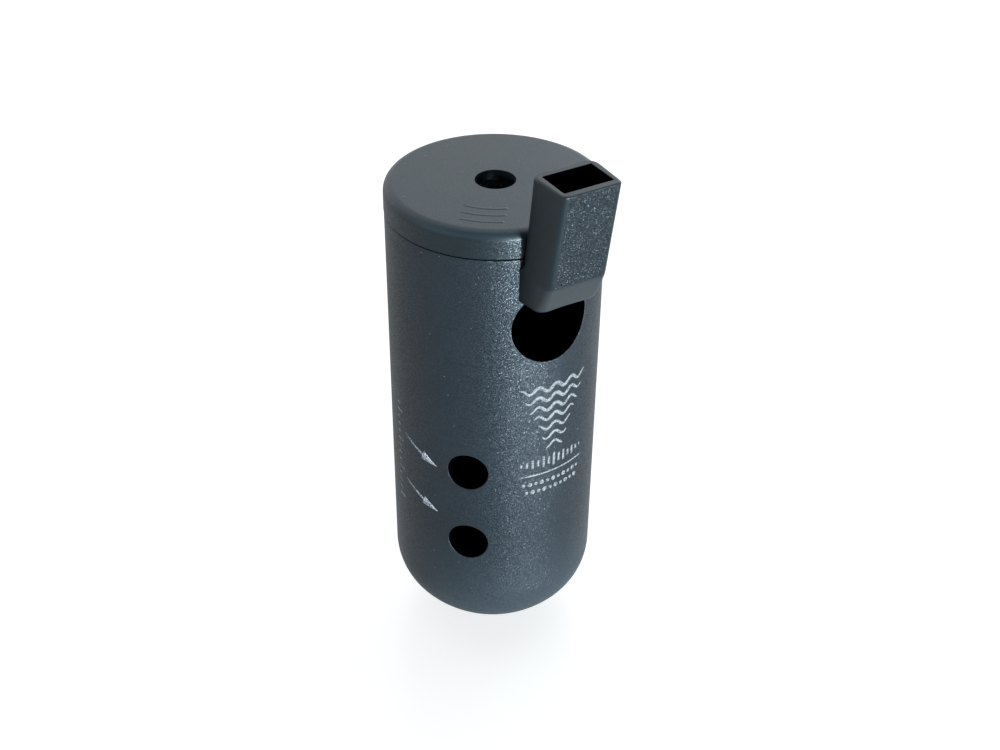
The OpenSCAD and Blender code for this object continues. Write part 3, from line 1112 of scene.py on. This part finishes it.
def lay_floor(colours):
    """A wide pale floor that glows to the camera and keeps the call's shadow."""
    finish = new_finish("Pale floor")
    base = finish.mix(finish.noise(FLOOR_PATCH, 2.0) * 0.1, colours.floor,
                      toned(colours.floor, 0.98))
    matt = finish.add("BsdfPrincipled", sockets={
        "Base Color": base, "Roughness": FLOOR_ROUGHNESS, "IOR": PLASTIC_IOR})
    glow = finish.add("Emission", sockets={
        "Color": (1, 1, 1, 1), "Strength": FLOOR_GLOW})
    lit = finish.add("AddShader", sockets={0: matt, 1: glow})
    shader = finish.add("MixShader", sockets={
        0: seen_rays(finish, FLOOR_MIRRORED), 1: matt, 2: lit})
    bm = bmesh.new()
    bmesh.ops.create_grid(bm, x_segments=1, y_segments=1, size=FLOOR_REACH)
    made = solid(bm, "floor", finish.end(shader))


def light_world():
    """White to the camera; soft light from behind the call, from above and from its left."""
    world = bpy.data.worlds.new("Studio")
    bpy.context.scene.world = world
    sky = Finish(world)
    x, y, z = sky.parts(sky.add("TexCoord", output="Generated"))
    across, ahead = math.cos(VIEW_TURN), math.sin(VIEW_TURN)
    behind = x * ahead + y * across + z * BACK_LIFT
    aside = y * ahead - x * across
    backdrop = sky.maths("MAXIMUM", sky.step(behind, *BACK_EDGE),
                         sky.step(aside, *ASIDE_EDGE) * ASIDE_SHARE)
    soft = sky.add("Background", sockets={
        "Color": (*LAMP_SHADE, 1), "Strength": backdrop * SKY_STRENGTH + SKY_LEAST})
    white = sky.add("Background", sockets={"Color": (1, 1, 1, 1), "Strength": 1.0})
    shader = sky.add("MixShader", sockets={
        0: seen_rays(sky, backdrop), 1: soft, 2: white})
    sky.add("OutputWorld", sockets={"Surface": shader})


def hang_lights():
    for name, turn, rise, distance, wide, tall, power in LIGHTS:
        lamp = bpy.data.lights.new(name, "AREA")
        lamp.shape, lamp.size, lamp.size_y, lamp.energy = "RECTANGLE", wide, tall, power
        lamp.color = LAMP_SHADE
        made = placed(name, lamp)
        turn, rise = math.radians(turn) - VIEW_TURN, math.radians(rise)
        out = Vector((math.sin(turn) * math.cos(rise), -math.cos(turn) * math.cos(rise),
                      math.sin(rise)))
        made.location = LIGHTS_AIM + out * distance
        made.rotation_euler = (-out).to_track_quat("-Z", "Y").to_euler()


def set_camera(scene):
    lens = bpy.data.cameras.new("Camera")
    lens.sensor_width, lens.sensor_fit, lens.lens = SENSOR, "HORIZONTAL", LENS
    lens.clip_start = 0.01
    camera = placed("Camera", lens)
    look = CAMERA_LOOK.normalized()
    side = look.cross(CAMERA_UP).normalized()
    turn = Matrix((side, side.cross(look), -look)).transposed().to_4x4()
    camera.matrix_world = Matrix.Translation(CAMERA_PLACE) @ turn
    scene.camera = camera


class MakeStage(bpy.types.Operator):
    """Set up the floor, the background, the lights and the camera"""
    bl_idname = "bird_call.stage"
    bl_label = "Stage"

    def execute(self, context):
        scene = context.scene
        lay_floor(scene.call_colours)
        light_world()
        hang_lights()
        set_camera(scene)
        scene.view_settings.view_transform = "Standard"
        return {"FINISHED"}


MAKERS = (MakeChamber, MakeMouthpiece, MakeCap, MakeCapWaves, MakeArrows, MakePrint, MakeStage)
GROUPS = (
    ("chamber_sizes", ChamberSizes),
    ("cap_sizes", CapSizes),
    ("mouthpiece_sizes", MouthpieceSizes),
    ("print_sizes", PrintSizes),
    ("call_colours", CallColours),
)


class BirdCallPanel(bpy.types.Panel):
    """Lists the steps that make the bird call and its stage"""
    bl_idname = "VIEW3D_PT_bird_call"
    bl_label = "Bird Call"
    bl_space_type = "VIEW_3D"
    bl_region_type = "UI"
    bl_category = "Bird Call"

    def draw(self, context):
        for maker in MAKERS:
            self.layout.operator(maker.bl_idname)
        for name, group in GROUPS:
            box = self.layout.box()
            for field in group.__annotations__:
                box.prop(getattr(context.scene, name), field)


def register():
    for name, group in GROUPS:
        bpy.utils.register_class(group)
        setattr(bpy.types.Scene, name, bpy.props.PointerProperty(type=group))
    for maker in MAKERS:
        bpy.utils.register_class(maker)
    bpy.utils.register_class(BirdCallPanel)


def unregister():
    bpy.utils.unregister_class(BirdCallPanel)
    for maker in reversed(MAKERS):
        bpy.utils.unregister_class(maker)
    for name, group in reversed(GROUPS):
        delattr(bpy.types.Scene, name)
        bpy.utils.unregister_class(group)


def main():
    register()
    bpy.ops.bird_call.chamber()
    bpy.ops.bird_call.mouthpiece()
    bpy.ops.bird_call.cap()
    bpy.ops.bird_call.cap_waves()
    bpy.ops.bird_call.arrows()
    bpy.ops.bird_call.printed_marks()
    bpy.ops.bird_call.stage()


if __name__ == "__main__":
    main()
